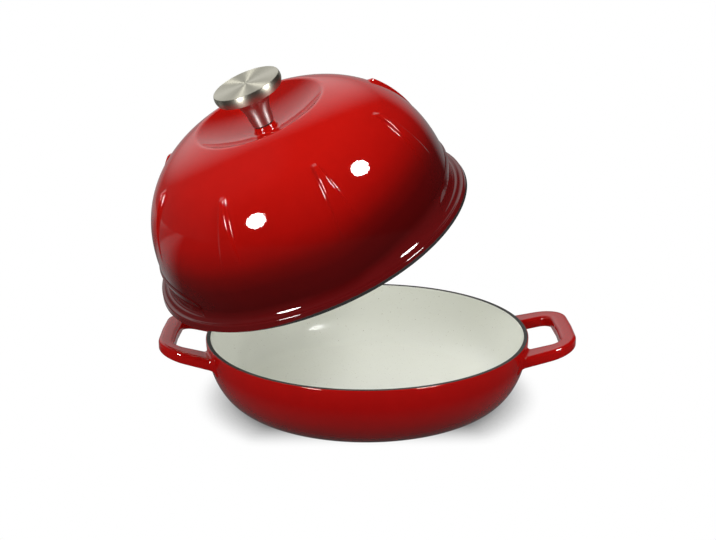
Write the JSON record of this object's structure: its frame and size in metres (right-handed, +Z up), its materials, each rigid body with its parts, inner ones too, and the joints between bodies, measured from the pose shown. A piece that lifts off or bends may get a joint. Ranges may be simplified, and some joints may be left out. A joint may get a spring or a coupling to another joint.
{
  "type": "cast iron bread oven",
  "caption": "Round enamelled cast iron bread oven: shallow pan with loop handles under a tall domed lid with raised marks, a dished crown and a flared steel knob; the lid is held tilted.",
  "frame": {"origin": "centre of the pan's flat underside", "axes": "+Z up out of the pan, +X towards one loop handle, so that the handles lie along X"},
  "size_m": [0.3383, 0.2678, 0.2689],
  "materials": {
    "red_enamel": "gloss red enamel outside, off-white enamel inside, matte black ground rims",
    "brushed_steel": "brushed stainless steel, turned lay",
    "plain_steel": "plain stainless steel",
    "black_fibre": "matte black heat-proof fibre"
  },
  "bodies": {
    "pan": {"base_pan": "red_enamel"},
    "lid": {"lid_dome": "red_enamel", "knob_cap": "brushed_steel", "knob_stem": "brushed_steel", "knob_insert": "plain_steel", "knob_washer": "black_fibre", "knob_screw": "plain_steel", "lock_washer": "plain_steel", "flat_washer": "plain_steel"}
  },
  "joints": [
    {"name": "lid_lift", "type": "hinge", "parent": "pan", "child": "lid", "pos_m": [-0.17433, -0.10691, 0.0243], "axis": [0.452, -0.8256, 0.3377], "range_deg": [-25.92, 20]}
  ]
}
